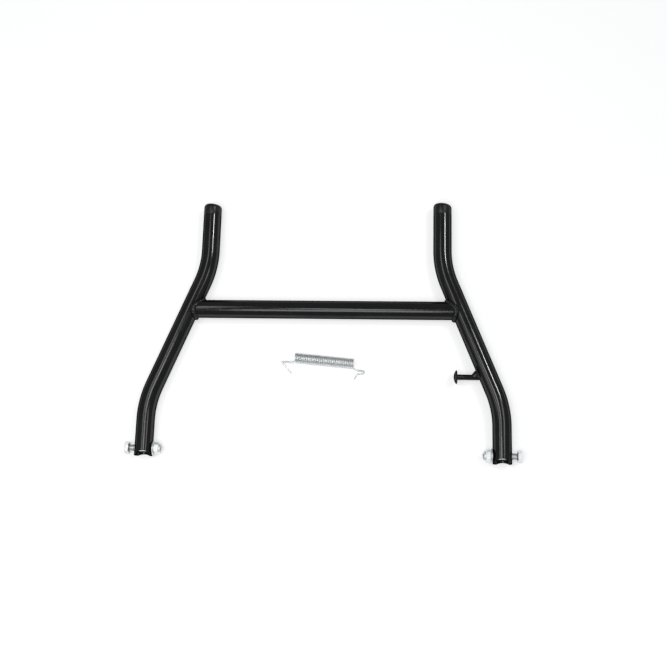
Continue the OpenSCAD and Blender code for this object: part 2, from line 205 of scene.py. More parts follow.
# %% Node groups that several finishes share
def new_group(name, inputs, outputs):
    """A node group with the sockets named, and its input and output nodes."""
    group = bpy.data.node_groups.new(name, "ShaderNodeTree")
    for socket, kind, value in inputs:
        made = group.interface.new_socket(name=socket, in_out="INPUT", socket_type=kind)
        if value is not None:
            made.default_value = value
    for socket, kind in outputs:
        group.interface.new_socket(name=socket, in_out="OUTPUT", socket_type=kind)
    return group, group.nodes.new("NodeGroupInput"), group.nodes.new("NodeGroupOutput")


def add(tree, kind, links=(), **settings):
    """Adds a node. links are (input name, output socket) pairs, and settings are its properties."""
    node = tree.nodes.new(kind)
    for name, value in settings.items():
        setattr(node, name, value)
    for name, value in links:
        if isinstance(value, bpy.types.NodeSocket):
            tree.links.new(value, node.inputs[name])
        else:
            node.inputs[name].default_value = value
    return node


uneven, gin, gout = new_group(
    "uneven surface",
    [("Wave size", "NodeSocketFloat", 100), ("Wave height", "NodeSocketFloat", 0.1),
     ("Grain size", "NodeSocketFloat", 1000), ("Grain height", "NodeSocketFloat", 0.1)],
    [("Normal", "NodeSocketVector")],
)
place = add(uneven, "ShaderNodeTexCoord")
wave = add(uneven, "ShaderNodeTexNoise",
           [("Vector", place.outputs["Object"]), ("Scale", gin.outputs["Wave size"]), ("Detail", 1)])
grain = add(uneven, "ShaderNodeTexNoise",
            [("Vector", place.outputs["Object"]), ("Scale", gin.outputs["Grain size"]), ("Detail", 2)])
wave_bump = add(uneven, "ShaderNodeBump",
                [("Height", wave.outputs["Fac"]), ("Strength", gin.outputs["Wave height"]),
                 ("Distance", 1 * MM)])
grain_bump = add(uneven, "ShaderNodeBump",
                 [("Height", grain.outputs["Fac"]), ("Strength", gin.outputs["Grain height"]),
                  ("Distance", 0.2 * MM), ("Normal", wave_bump.outputs["Normal"])])
uneven.links.new(grain_bump.outputs["Normal"], gout.inputs["Normal"])

spots, gin, gout = new_group(
    "uneven spots",
    [("Size", "NodeSocketFloat", 60), ("Amount", "NodeSocketFloat", 0.5)],
    [("Mask", "NodeSocketFloat")],
)
place = add(spots, "ShaderNodeTexCoord")
cloud = add(spots, "ShaderNodeTexNoise",
            [("Vector", place.outputs["Object"]), ("Scale", gin.outputs["Size"]),
             ("Detail", 5), ("Roughness", 0.6)])
reach = add(spots, "ShaderNodeMapRange",
            [("Value", cloud.outputs["Fac"]), ("From Min", 0.42), ("From Max", 0.68),
             ("To Max", gin.outputs["Amount"])], interpolation_type="SMOOTHSTEP")
spots.links.new(reach.outputs["Result"], gout.inputs["Mask"])
print("node groups:", [g.name for g in bpy.data.node_groups])


# %% [markdown]
# The tubes are powder coated in gloss black. Powder is sprayed dry and melts in an oven, which
# leaves a thick even skin with a slight orange peel. A coat layer over a dark base could stand for
# it, but one glossy layer with a gentle waviness gives the same sharp, slightly broken highlights.
# The reflection is weakened towards the rim of each tube, where the picture stays dark. Helpers make
# a material and give it these effects one by one, so that each finish below is a few plain lines.


# %% Helpers for finishes
def new_material(name, base, roughness, metallic=0.0):
    """A material of one Principled shader. Returns it with its node tree and that shader."""
    material = bpy.data.materials.new(name)
    material.use_nodes = True
    shader = material.node_tree.nodes["Principled BSDF"]
    shader.inputs["Base Color"].default_value = (*base, 1)
    shader.inputs["Roughness"].default_value = roughness
    shader.inputs["Metallic"].default_value = metallic
    return material, material.node_tree, shader


def use_group(tree, group, **values):
    """Places a group in a material and sets its inputs by name."""
    node = add(tree, "ShaderNodeGroup", node_tree=group)
    for name, value in values.items():
        node.inputs[name.replace("_", " ")].default_value = value
    return node


def give_surface(tree, shader, **values):
    """Feeds the shader's normal from the uneven surface group."""
    node = use_group(tree, uneven, **values)
    tree.links.new(node.outputs["Normal"], shader.inputs["Normal"])


def give_spots(tree, shader, low_roughness, high_roughness, low_colour, high_colour, **values):
    """Lets roughness and colour drift between two values each, by the uneven spots."""
    node = use_group(tree, spots, **values)
    mask = node.outputs["Mask"]
    drift = add(tree, "ShaderNodeMapRange",
                [("Value", mask), ("To Min", low_roughness), ("To Max", high_roughness)])
    tint = add(tree, "ShaderNodeMix",
               [("Factor", mask), ("A", (*low_colour, 1)), ("B", (*high_colour, 1))], data_type="RGBA")
    tree.links.new(drift.outputs["Result"], shader.inputs["Roughness"])
    tree.links.new(tint.outputs["Result"], shader.inputs["Base Color"])


def fade_rim(tree, shader, face_on, rim):
    """Weakens the reflection from its value face on to its value at the rim, seen at a low angle."""
    slope = add(tree, "ShaderNodeLayerWeight", [("Blend", 0.5)])
    fade = add(tree, "ShaderNodeMapRange",
               [("Value", slope.outputs["Facing"]), ("From Min", 0.22), ("From Max", 0.58),
                ("To Min", face_on), ("To Max", rim)])
    tree.links.new(fade.outputs["Result"], shader.inputs["Specular IOR Level"])


def paint_recess_shade(tree, shader, reach, least):
    """Paints shade into the colour, down to a share of least, where other faces within reach hide the
    room.
    """
    room_seen = add(tree, "ShaderNodeAmbientOcclusion", [("Distance", reach)], samples=8)
    shade = add(tree, "ShaderNodeMapRange",
                [("Value", room_seen.outputs["AO"]), ("From Min", 0.2), ("From Max", 0.55),
                 ("To Min", least)])
    colour = shader.inputs["Base Color"].links[0].from_socket
    # the painted shade multiplies the colour
    shade_painted = add(tree, "ShaderNodeMix", [("Factor", 1), ("A", colour), ("B", shade.outputs["Result"])],
                 data_type="RGBA", blend_type="MULTIPLY")
    tree.links.new(shade_painted.outputs["Result"], shader.inputs["Base Color"])


# %% [markdown]
# The stand has five finishes: the gloss powder, the satin plastic of the caps, bright zinc on the
# bolts, washers and nuts, the same plating on the spring's wire, and the nylon in the lock nuts. The
# zinc is light and satin. On the bolts its colour is darkened by painted shade, under the heads and
# inside the tubes, where little light comes in. An ambient occlusion node finds such places, since it
# measures how much of the room each spot sees.

# %% Finishes
powder, tree, shader = new_material("gloss black powder coat", (0.005, 0.005, 0.0055), 0.2)
give_surface(tree, shader, Wave_size=260, Wave_height=0.02, Grain_size=2600, Grain_height=0.03)
give_spots(tree, shader, 0.12, 0.17, (0.0045, 0.0045, 0.005), (0.007, 0.007, 0.0075),
           Size=45, Amount=1.0)
fade_rim(tree, shader, 0.5, 0.0)

cap_plastic, tree, shader = new_material("satin moulded plastic", (0.006, 0.006, 0.006), 0.36)
give_surface(tree, shader, Wave_size=500, Wave_height=0.04, Grain_size=4000, Grain_height=0.2)
give_spots(tree, shader, 0.3, 0.42, (0.005, 0.005, 0.005), (0.009, 0.009, 0.009), Size=120, Amount=1.0)
fade_rim(tree, shader, 0.5, 0.05)

zinc, tree, shader = new_material("bright zinc plating", (0.92, 0.94, 0.94), 0.5, 1.0)
give_surface(tree, shader, Wave_size=900, Wave_height=0.05, Grain_size=5000, Grain_height=0.12)
give_spots(tree, shader, 0.45, 0.6, (0.93, 0.95, 0.95), (0.84, 0.87, 0.87), Size=380, Amount=1.0)
shader.inputs["Specular Tint"].default_value = (0.7, 0.75, 0.75, 1)
# painted shade: the zinc's colour is darkened under the bolt heads and inside the tubes
paint_recess_shade(tree, shader, 12 * MM, 0.12)

wire_zinc, tree, shader = new_material("plated spring wire", (0.92, 0.94, 0.94), 0.5, 1.0)
give_surface(tree, shader, Wave_size=700, Wave_height=0.03, Grain_size=7000, Grain_height=0.1)
give_spots(tree, shader, 0.4, 0.54, (0.94, 0.96, 0.96), (0.85, 0.88, 0.88), Size=260, Amount=1.0)
shader.inputs["Specular Tint"].default_value = (0.25, 0.29, 0.29, 1)

nylon, tree, shader = new_material("natural nylon", (0.72, 0.72, 0.68), 0.5)
give_surface(tree, shader, Wave_size=800, Wave_height=0.04, Grain_size=7000, Grain_height=0.1)
give_spots(tree, shader, 0.42, 0.58, (0.74, 0.74, 0.70), (0.64, 0.63, 0.58), Size=300, Amount=1.0)
print("finishes:", [m.name for m in (powder, cap_plastic, zinc, wire_zinc, nylon)])

# %% [markdown]
# A leg is one length of steel tube, bent twice on a round former. The outer and the inner surface
# are each one ring, pulled along the straight runs and swung round the bends. The pivot end is then
# cut to a saddle that fits round another tube. The cutter is tilted, so that the notch is deeper on
# top, and leans to one side. Every corner of the last ring slides along the tube to the surface of
# the cutter, or stays on the square end. That gives the ears of a boolean cut, on cleaner faces. One
# more ring, a little further out and nearer the middle of the wall, breaks the sharp edge.

# %% Legs
SADDLE_R = 11.5 * MM
SADDLE_DEPTH = 3.9 * MM
SADDLE_Y = PIVOT_END_Y + SADDLE_DEPTH - SADDLE_R
TILT, LEAN = radians(10.5), radians(7)
EDGE_BREAK = 0.3 * MM
BEND_STEPS = 16


def saddle_reach(x, z):
    """How far along Y the tube goes at a place of its section, given from the tube's axis."""
    across, up = x * cos(LEAN) + z * sin(LEAN), z * cos(LEAN) - x * sin(LEAN)
    notch = SADDLE_Y + (sqrt(max(SADDLE_R**2 - across**2, 0)) + up * sin(TILT)) / cos(TILT)
    return max(notch, PIVOT_END_Y)


def leg_surface(bm, radius, rim_radius, sides):
    """One surface of the leg from the foot to the pivot end. Returns its first and last rings."""
    foot_y = FOOT_TIP_Y - CAP_LENGTH
    first = ring(bm, (FOOT_X, foot_y, TUBE_R), (0, -1, 0), radius, sides)
    last = pull(bm, first, (0, UPPER_Y + BEND_TANGENT - foot_y, 0))
    centre = (FOOT_X + BEND_R, UPPER_Y + BEND_TANGENT, TUBE_R)
    last = swing(bm, last, centre, (0, 0, 1), SLANT, BEND_STEPS)
    last = pull(bm, last, ALONG_SLANT * (SLANT_LENGTH - 2 * BEND_TANGENT))
    centre = (PIVOT_X - BEND_R, LOWER_Y - BEND_TANGENT, TUBE_R)
    last = swing(bm, last, centre, (0, 0, 1), -SLANT, BEND_STEPS)
    last = pull(bm, last, (0, PIVOT_END_Y - LOWER_Y + BEND_TANGENT, 0))
    rim = pull(bm, last, (0, 0, 0))
    for loop, scale, shy in ((last, 1, EDGE_BREAK), (rim, rim_radius / radius, 0)):
        for v in corners(loop):
            x, z = scale * (v.co.x - PIVOT_X), scale * (v.co.z - TUBE_R)
            v.co = Vector((PIVOT_X + x, saddle_reach(x, z) + shy, TUBE_R + z))
    return first, rim


def make_leg(node, mirrored):
    """One leg: the outer and the inner surface, joined by the rim of the wall at both ends."""
    bm = bmesh.new()
    bore, sides = TUBE_R - TUBE_WALL, 120
    outer_foot, outer_saddle = leg_surface(bm, TUBE_R, TUBE_R - EDGE_BREAK, sides)
    inner_foot, inner_saddle = leg_surface(bm, bore, bore + EDGE_BREAK, sides)
    bmesh.ops.bridge_loops(bm, edges=outer_foot + inner_foot)
    bmesh.ops.bridge_loops(bm, edges=outer_saddle + inner_saddle)
    finish_piece(bm, node, powder, mirrored=mirrored)


make_leg("right_leg_tube", False)
make_leg("left_leg_tube", True)

# %% [markdown]
# The crossbar is the same tube. Each of its ends is coped, which means cut to the shape of the leg
# that it meets. For two equal tubes the cut would leave a pointed lip on the top and underneath, so
# the lips are trimmed a few millimetres from the leg's axis. The end rings slide along the bar to
# that line, and a little further, so that no gap can show.


# %% Crossbar
LIP_TRIM = 5.5 * MM
OVERLAP = 0.5 * MM


def joint_x(y, from_leg):
    """The place y off the crossbar's axis and at a distance from the leg's, seen from above."""
    return CROSSING_X - (from_leg + y * sin(SLANT)) / cos(SLANT)


bm = bmesh.new()
left_end = ring(bm, (-CROSSING_X / 2, CROSSBAR_Y, TUBE_R), (1, 0, 0), TUBE_R, 96)
right_end = pull(bm, left_end, (CROSSING_X, 0, 0))
for side, end in ((-1, left_end), (1, right_end)):
    for v in corners(end):
        y = v.co.y - CROSSBAR_Y
        v.co.x = side * (joint_x(y, max(abs(y), LIP_TRIM)) + OVERLAP)
close_ends(bm)
finish_piece(bm, "crossbar_tube", powder)

# %% [markdown]
# Each joint is welded all round in one bead. It lies in the corner between the tubes at the flanks
# and climbs over the trimmed lips at the top. A bead is laid down drop by drop, so it has ripples,
# and the powder coat rounds them off. A ring of edges follows the joint and swells and narrows with
# each ripple, and its end is bridged to its start. The part of it inside the tubes stays unseen.

# %% Crossbar welds
BEAD_R = 3.2 * MM
DROP_RUN = 2.4 * MM


def top_and_root(s):
    """How much the angle s is over the bar, and how much it is under it, from 0 to 1."""
    return max(sin(s), 0) ** 2, min(sin(s), 0) ** 4


def bead_point(s):
    """A point of the bead's middle, at the angle s round the crossbar."""
    top, root = top_and_root(s)
    r = TUBE_R - (0.5 + 1.7 * top + 2.2 * root) * MM
    y = r * cos(s)
    from_leg = LIP_TRIM + (TUBE_R - LIP_TRIM) * cos(s) ** 2
    return Vector((joint_x(y, from_leg), CROSSBAR_Y + y, TUBE_R + r * sin(s)))


def bead_radius(s, run):
    """The bead's radius, thickest over the top, with a ripple for every drop along its run."""
    top, root = top_and_root(s)
    plain = BEAD_R + (1.1 * top - 0.8 * root) * MM
    return plain * (0.95 + 0.09 * abs(sin(pi * run / DROP_RUN)))


def make_crossbar_weld(node, mirrored, steps=200):
    """One closed bead, drawn as a ring of edges that follows the joint all round."""
    angles = [2 * pi * i / steps for i in range(steps)]
    path = [bead_point(s) for s in angles]
    run, widths = 0.0, []
    for i, s in enumerate(angles):
        run += (path[i] - path[i - 1]).length if i else 0
        widths.append(bead_radius(s, run))
    bm = bmesh.new()
    start = ring(bm, path[0], path[1] - path[-1], widths[0], 24)
    end = follow(bm, start, path, widths)
    bmesh.ops.bridge_loops(bm, edges=start + end)
    finish_piece(bm, node, powder, sharp=50, mirrored=mirrored)


make_crossbar_weld("right_crossbar_weld", False)
make_crossbar_weld("left_crossbar_weld", True)

# %% [markdown]
# Turned pieces come next: the foot caps, the peg, the washers and the plastic rings. On a lathe a
# profile is cut as the work turns, and a spin does the same to a line of corners. The profile is
# drawn as pairs of a distance along the axis and a radius. One helper turns any such profile.


# %% Turned pieces
def turned(bm, profile, origin, axis, steps):
    """Spins a profile of (along, radius) pairs, in millimetres, about an axis through origin."""
    verts = [bm.verts.new((0, r * MM, z * MM)) for z, r in profile]
    chain = [bm.edges.new(pair) for pair in zip(verts, verts[1:])]
    turn = Vector(axis).to_track_quat("Z", "Y").to_matrix()
    bmesh.ops.rotate(bm, verts=verts, matrix=turn)
    bmesh.ops.translate(bm, verts=verts, vec=Vector(origin))
    bmesh.ops.spin(bm, geom=verts + chain, cent=Vector(origin), axis=Vector(axis), angle=2 * pi,
                   steps=steps, use_merge=True)


def arc(z, r, radius, start, end, steps=6):
    """Points of a rounded corner for a profile, centred on (z, r), between two angles in degrees."""
    angles = [radians(start + (end - start) * i / steps) for i in range(steps + 1)]
    return [(z + radius * cos(a), r + radius * sin(a)) for a in angles]


print("a quarter round of 2 mm has", len(arc(0, 0, 2, 0, 90)), "points")

# %% [markdown]
# A foot cap is moulded in black plastic. Its plug is pushed into the tube and its head is as thick as
# the tube, so only a thin line shows where they meet. The rim is well rounded and the end slightly
# crowned, with a small stub in the middle where the plastic flowed in. Both ends are moulded a
# little aslant, which a shear of the last few millimetres gives.

# %% Foot caps
R, CAP = TUBE_R / MM, CAP_LENGTH / MM
EDGE = 4.5
CROWN, CROWN_R = 0.8, 7.4
PLUG_LENGTH, PLUG_R = 16, 8.3
RIBS, RIB_STEP, RIB_R = 4, 3.55, 9.2
SHEAR, SHEAR_LENGTH = 0.1, 9

plug = [(-PLUG_LENGTH, 0), (-PLUG_LENGTH, PLUG_R - 1.6)]
for i in range(RIBS, 0, -1):
    z = -RIB_STEP * i
    plug += [(z, PLUG_R), (z + 0.5, RIB_R), (z + 0.9, RIB_R), (z + 1.6, PLUG_R)]
head = [(-0.2, PLUG_R), (0, R - 0.45), (0.15, R - 0.12), (0.4, R)]
head += arc(CAP - 0.7 - EDGE, R - EDGE, EDGE, 90, 12, 10)
crown = [(CAP - CROWN * (i / 6) ** 2, CROWN_R * i / 6) for i in range(6, 2, -1)]
stub = [(CAP - 0.12, 2.2), (CAP - 0.1, 1.8), (CAP, 1.5), (CAP, 0)]

for node, x in (("right_foot_cap", FOOT_X), ("left_foot_cap", -FOOT_X)):
    bm = bmesh.new()
    turned(bm, plug + head + crown + stub, (x, FOOT_TIP_Y - CAP_LENGTH, TUBE_R), (0, 1, 0), 96)
    for v in bm.verts:
        share = min(max((v.co.y - FOOT_TIP_Y) / MM + SHEAR_LENGTH, 0) / SHEAR_LENGTH, 1)
        v.co.y -= SHEAR * share * (v.co.x - x)
    finish_piece(bm, node, cap_plastic)

# %% [markdown]
# The peg keeps the spring's hook. It is a short round bar with a thin head like a shallow
# mushroom, pressed from steel and coated with the frame. The head's rim is rounded over, and a
# small fillet joins it to the shank. The bar's other end runs into the leg.

# %% Spring peg
PEG_DROP = 80 * MM
PEG_Y = CROSSBAR_Y - PEG_DROP
PEG_WALL_X = CROSSING_X + PEG_DROP * tan(SLANT) - TUBE_R / cos(SLANT)
PEG_LENGTH, PEG_END, PEG_R = 29, 30.3, 3.25
PEG_CROWN_X = PEG_WALL_X - PEG_LENGTH * MM
HEAD_R, HEAD_RISE, HEAD_THICK = 8.2, 2.8, 1.8
DOME_R = (HEAD_R**2 + HEAD_RISE**2) / (2 * HEAD_RISE)


def dome(radius, reach, steps):
    """Points of a dome whose crown is at the profile's start, out to the radius reach."""
    half = atan2(reach, sqrt(radius**2 - reach**2))
    angles = [half * i / steps for i in range(steps + 1)]
    return [(DOME_R - radius * cos(a), radius * sin(a)) for a in angles]


outside = dome(DOME_R, 7.9, 10)
inside = dome(DOME_R - HEAD_THICK, 7.0, 8)[::-1]
rim = [(2.82, 8.12), (3.1, HEAD_R), (3.5, 8.05), (3.75, 7.6)]
fillet = [(1.95, 3.9), (2.2, 3.5), (2.8, PEG_R)]
shank = [(PEG_END, PEG_R), (PEG_END, 0)]
bm = bmesh.new()
turned(bm, outside + rim + inside[:4] + fillet + shank, (PEG_CROWN_X, PEG_Y, TUBE_R), (1, 0, 0), 64)
finish_piece(bm, "spring_peg", powder)

# %% [markdown]
# The peg's weld fills the corner between the peg and the leg. It flares from the peg to the tube,
# more on the crossbar's side, with rings left by the welder's circling. A ring of edges starts
# inside the leg and climbs to the peg while it narrows, with the hollow curve of a fillet.

# %% Peg weld
WELD_HEIGHT = 6.4 * MM
WELD_FOOT_R, WELD_TOP_R = 6.6, 3.35
WELD_RINGS = 4.5
STEPS = 24
pierce = Vector((PEG_WALL_X, PEG_Y, TUBE_R))
inwards = Vector((-cos(SLANT), -sin(SLANT), 0))
foot = pierce - ALONG_SLANT * 3.2 * MM - inwards * 1.2 * MM
top = pierce - Vector((WELD_HEIGHT, 0, 0))
path, widths = [], []
for i in range(STEPS + 1):
    t = i / STEPS
    path.append(foot.lerp(top, t) + Vector((0, 0.6 * MM * sin(pi * t), 0)))
    flare = WELD_TOP_R + (WELD_FOOT_R - WELD_TOP_R) * (1 - t) ** 1.7
    widths.append(flare * MM * (1 + 0.035 * abs(sin(pi * t * WELD_RINGS))))
bm = bmesh.new()
start = ring(bm, path[0], inwards, widths[0], 40)
follow(bm, start, path, widths)
close_ends(bm)
finish_piece(bm, "spring_peg_weld", powder, sharp=60)

# %% [markdown]
# The bolts' heads and the nuts are hexagons. They are pressed, and then a lathe bevels their rims, so
# the bevel is part of a cone and ends in a curved line on each flat. Bevelling the edges of a plain
# hexagon would not give those curves. So a circle of edges grows out to the six sides and back in
# again, and every corner of it takes its height from the cone.


# %% Hexagons with turned bevels
def hexagon_radius(angle, flats):
    """Distance from the axis to the hexagon's side in that direction."""
    return flats / 2 / cos(angle % (pi / 3) - pi / 6)


def hexagon_prism(bm, flats, height, origin, axis, rings_after):
    """A hexagon with bevelled rims, in millimetres, which goes on through rings of (along, radius)."""
    chamfer, bevel = flats / 2 - 0.25, radians(30)
    rows = [("round", chamfer, 0), ("hex", 0, 1), ("hex", height, -1), ("round", chamfer, height)]
    rows += [("round", r, z) for z, r in rings_after]
    start = ring(bm, (0, 0, 0), (0, 0, 1), flats / 2 * MM, 96)
    made = corners(start)
    for i, (shape, a, b) in enumerate(rows):
        if i:
            verts = grow(bm, start)
            start = edges_between(verts)
            made += verts
        for v in corners(start):
            angle = atan2(v.co.y, v.co.x)
            if shape == "round":
                r, z = a, b
            else:
                r = hexagon_radius(angle, flats)
                z = a + b * (r - chamfer) * tan(bevel)
            v.co = Vector((r * cos(angle), r * sin(angle), z)) * MM
    turn = Vector(axis).to_track_quat("Z", "Y").to_matrix()
    bmesh.ops.rotate(bm, verts=made, matrix=turn)
    bmesh.ops.translate(bm, verts=made, vec=Vector(origin))


FLATS = 13
print("a hexagon of", FLATS, "mm is", round(2 * hexagon_radius(0, FLATS), 2), "mm over its corners")

# %% [markdown]
# The pivot bolts are standard hexagon bolts, threaded to the head. A thread is a groove that climbs
# as it turns: a spin that moves along its axis by one pitch a turn, which is what a screw is. The
# profile is one tooth, and the end of each turn lies on the start of the next. The two raw ends
# are cut square with a plane, and the tip gets its bevel.

# %% Bolts
PITCH = 1.25
THREAD_R, ROOT_R = 4.0, 3.42
BOLT_LENGTH = 40
BOLT_HEAD = 5.3
RAW_END = 1.5
BRACKET_GAP = 6.2 * MM
HEAD_X = PIVOT_X + TUBE_R + BRACKET_GAP


def make_shank(bm):
    """The threaded bar, from its tip at the origin up along Z."""
    tooth = [(0, ROOT_R), (0.10, 3.36), (0.20, ROOT_R), (0.62, 3.96), (0.78, 3.96), (PITCH, ROOT_R)]
    verts = [bm.verts.new((0, r * MM, z * MM)) for z, r in tooth]
    chain = [bm.edges.new(pair) for pair in zip(verts, verts[1:])]
    turns = int(BOLT_LENGTH / PITCH) + 2
    swing(bm, chain, (0, 0, 0), (0, 0, 1), 2 * pi * turns, 32 * turns, PITCH * MM * turns)
    bmesh.ops.remove_doubles(bm, verts=bm.verts, dist=0.01 * MM)
    for z, keep in ((RAW_END, 1), (BOLT_LENGTH + 1.0, -1)):
        bmesh.ops.bisect_plane(bm, geom=bm.verts[:] + bm.edges[:] + bm.faces[:],
                               plane_co=(0, 0, z * MM), plane_no=(0, 0, keep), clear_inner=True)
        close_ends(bm)
    for v in bm.verts:
        bevel = THREAD_R - max(0.0, RAW_END + 1.0 - v.co.z / MM)
        reach = hypot(v.co.x, v.co.y) / MM
        if reach > bevel:
            v.co.x *= bevel / reach
            v.co.y *= bevel / reach
        v.co.z -= RAW_END * MM
    bm.normal_update()


def make_bolt(node, mirrored):
    """One bolt: its shank is laid along X through the leg, and the head is set on its end."""
    bm = bmesh.new()
    make_shank(bm)
    bmesh.ops.rotate(bm, verts=bm.verts, matrix=Matrix(((0, 0, 1), (0, 1, 0), (-1, 0, 0))))
    bmesh.ops.translate(bm, verts=bm.verts, vec=Vector((HEAD_X - BOLT_LENGTH * MM, BOLT_Y, TUBE_R)))
    dish = [(BOLT_HEAD, 4.4), (BOLT_HEAD - 0.25, 3.9), (BOLT_HEAD - 0.3, 0.4)]
    hexagon_prism(bm, FLATS, BOLT_HEAD, (HEAD_X, BOLT_Y, TUBE_R), (1, 0, 0), dish)
    close_ends(bm)
    finish_piece(bm, node, zinc, sharp=28, mirrored=mirrored, join=0.002 * MM)


make_bolt("right_pivot_bolt", False)
make_bolt("left_pivot_bolt", True)

# %% [markdown]
# Between the leg and the nut lies a plain washer, stamped from sheet, with one rim rounded by the
# punch. It is a short profile turned about the bolt's axis.

# %% Washers
THICK, WASHER_R, WASHER_BORE = 1.6, 8.75, 4.2
ROUND = 0.45
PLAY = 0.3 * MM
NUT_X = PIVOT_X - TUBE_R - PLAY - THICK * MM
washer_profile = [(0, WASHER_BORE), (0, WASHER_R - 0.15), (0.15, WASHER_R)]
washer_profile += arc(THICK - ROUND, WASHER_R - ROUND, ROUND, 90, 0, 4)
washer_profile += [(THICK, WASHER_BORE + 0.25), (THICK - 0.2, WASHER_BORE), (0, WASHER_BORE)]
for node, side in (("right_washer", 1), ("left_washer", -1)):
    bm = bmesh.new()
    turned(bm, washer_profile, (side * NUT_X, BOLT_Y, TUBE_R), (side, 0, 0), 64)
    finish_piece(bm, node, zinc)

# %% [markdown]
# The lock nut is a hexagon with a round collar. The collar is rolled in over a ring of nylon, which
# grips the thread so that the nut can be left loose without coming off. The nut is one run of rings:
# up the hexagon, over the collar, and back down the hole.

# %% Lock nuts
NUT_HEIGHT = 5.8
NUT_BORE = 4.02
BAND_START, BAND_END, BAND_R = 5.5, 7.4, 5.2
collar = [(6.0, 6.1), (7.15, 6.1), (7.5, 5.98), (7.8, 5.7), (7.97, 5.3), (8.0, 4.85), (7.85, 4.62)]
seat = [(BAND_END, 4.6), (BAND_END, BAND_R), (BAND_START, BAND_R), (BAND_START, NUT_BORE)]
hole = [(0.5, NUT_BORE), (0, 4.5)]
band = [(BAND_START, 4.0), (BAND_START, BAND_R), (BAND_END, BAND_R), (BAND_END, 4.35),
        (7.2, 4.05), (6.9, 4.0), (BAND_START, 4.0)]
for node, side in (("right_lock_nut", 1), ("left_lock_nut", -1)):
    bm = bmesh.new()
    origin = (side * NUT_X, BOLT_Y, TUBE_R)
    hexagon_prism(bm, FLATS, NUT_HEIGHT, origin, (-side, 0, 0), collar + seat + hole)
    bmesh.ops.bridge_loops(bm, edges=[e for e in bm.edges if e.is_boundary])
    finish_piece(bm, node, zinc, sharp=28)

for node, side in (("right_nut_insert", 1), ("left_nut_insert", -1)):
    bm = bmesh.new()
    turned(bm, band, (side * NUT_X, BOLT_Y, TUBE_R), (-side, 0, 0), 48)
    finish_piece(bm, node, nylon)

# %% [markdown]
# The return spring is wound from one wire with its turns touching. A ring of edges, swung round the
# coil's axis while it climbs by one pitch a turn, makes the coil. From its last rings the wire runs
# on into two bent hooks, which follow a path with rounded corners. It is drawn lying straight along
# X, then dipped until both tips touch the floor, and turned to lie as in the picture.

# %% Return spring
WIRE_R = 1.1
COIL_R = 5.4
TURNS, TURN_PITCH = 32, 2.24
COIL_LENGTH = TURN_PITCH * TURNS
HOOK_REACH = 19
SPRING_X, SPRING_Y = 2 * MM, CROSSBAR_Y - 62 * MM
SPRING_TURN = radians(-5)


def rounded_path(points, radius, steps=6):
    """A path through points, in millimetres, with each corner cut by a short curve."""
    path = [Vector(points[0])]
    for a, b, c in zip(points, points[1:], points[2:]):
        a, b, c = Vector(a), Vector(b), Vector(c)
        reach = min(radius, (a - b).length * 0.48, (c - b).length * 0.48)
        start, end = b + (a - b).normalized() * reach, b + (c - b).normalized() * reach
        for i in range(steps + 1):
            t = i / steps
            path.append((1 - t) ** 2 * start + 2 * t * (1 - t) * b + t * t * end)
    return [p * MM for p in path + [Vector(points[-1])]]


half = COIL_LENGTH / 2
left_hook = [(-half, -COIL_R, 0), (-half - 16, -COIL_R - 0.7, 0), (-half - 2.2, -HOOK_REACH, 0)]
right_hook = [(half, -COIL_R, 0), (half + 3.3, -COIL_R - 2.2, 0), (half + 13, -COIL_R - 2.2, 0),
              (half + 13, -COIL_R - 5.3, 0), (half + 4.8, -COIL_R - 6.6, 0),
              (half + 2.2, -HOOK_REACH, 0)]
bm = bmesh.new()
coil_start = ring(bm, Vector((-half, -COIL_R, 0)) * MM, (0, 0, -1), WIRE_R * MM, 12)
coil_end = swing(bm, coil_start, (0, 0, 0), (1, 0, 0), 2 * pi * TURNS, 28 * TURNS, COIL_LENGTH * MM)
end_x = [v.co.x / MM for v in corners(coil_end)]
print("coil:", len(bm.faces), "faces, ends", round(sum(end_x) / len(end_x), 1), "mm from its middle")
for hook in (left_hook, right_hook):
    path = rounded_path(hook, 2.0)
    root = ring(bm, path[0], path[1] - path[0], WIRE_R * MM, 12)
    follow(bm, root, path, [WIRE_R * MM] * len(path))
close_ends(bm)
lying_z = COIL_R + WIRE_R
dip = asin((lying_z - WIRE_R * 1.05) / HOOK_REACH)
bmesh.ops.rotate(bm, verts=bm.verts, matrix=Matrix.Rotation(dip, 3, "X"))
bmesh.ops.rotate(bm, verts=bm.verts, matrix=Matrix.Rotation(SPRING_TURN, 3, "Z"))
bmesh.ops.translate(bm, verts=bm.verts, vec=Vector((SPRING_X, SPRING_Y, lying_z * MM)))
finish_piece(bm, "return_spring", wire_zinc, sharp=60, join=0.0005 * MM)

# %% [markdown]
# The stand lies on a white table in even studio light. The table is a plain white sheet, seen by the
# camera and in reflections a little brighter than its light alone would make it, so that it reads as
# clean white and still shows the soft shadows. More light on the stand would also whiten the table,
# but it would turn the black tubes grey.

# %% Table
TABLE_HALF = 3
bm = bmesh.new()
bmesh.ops.create_grid(bm, x_segments=1, y_segments=1, size=TABLE_HALF)
mesh = bpy.data.meshes.new("table_top")
bm.to_mesh(mesh)
bm.free()
table_top = bpy.data.objects.new("table_top", mesh)
bpy.context.scene.collection.objects.link(table_top)
white = bpy.data.materials.new("white table")
white.use_nodes = True
tree = white.node_tree
tree.nodes.clear()
paper = add(tree, "ShaderNodeBsdfDiffuse", [("Color", (0.8, 0.8, 0.8, 1))])
glow = add(tree, "ShaderNodeEmission", [("Color", (1, 1, 1, 1)), ("Strength", 0.52)])
both = add(tree, "ShaderNodeAddShader")
tree.links.new(paper.outputs[0], both.inputs[0])
tree.links.new(glow.outputs[0], both.inputs[1])
rays = add(tree, "ShaderNodeLightPath")
by_eye_or_mirror = add(tree, "ShaderNodeMath",
                       [(0, rays.outputs["Is Camera Ray"]), (1, rays.outputs["Is Glossy Ray"])],
                       operation="MAXIMUM")
seen = add(tree, "ShaderNodeMath",
           [(0, by_eye_or_mirror.outputs[0]), (1, rays.outputs["Is Transmission Ray"])],
           operation="MAXIMUM")
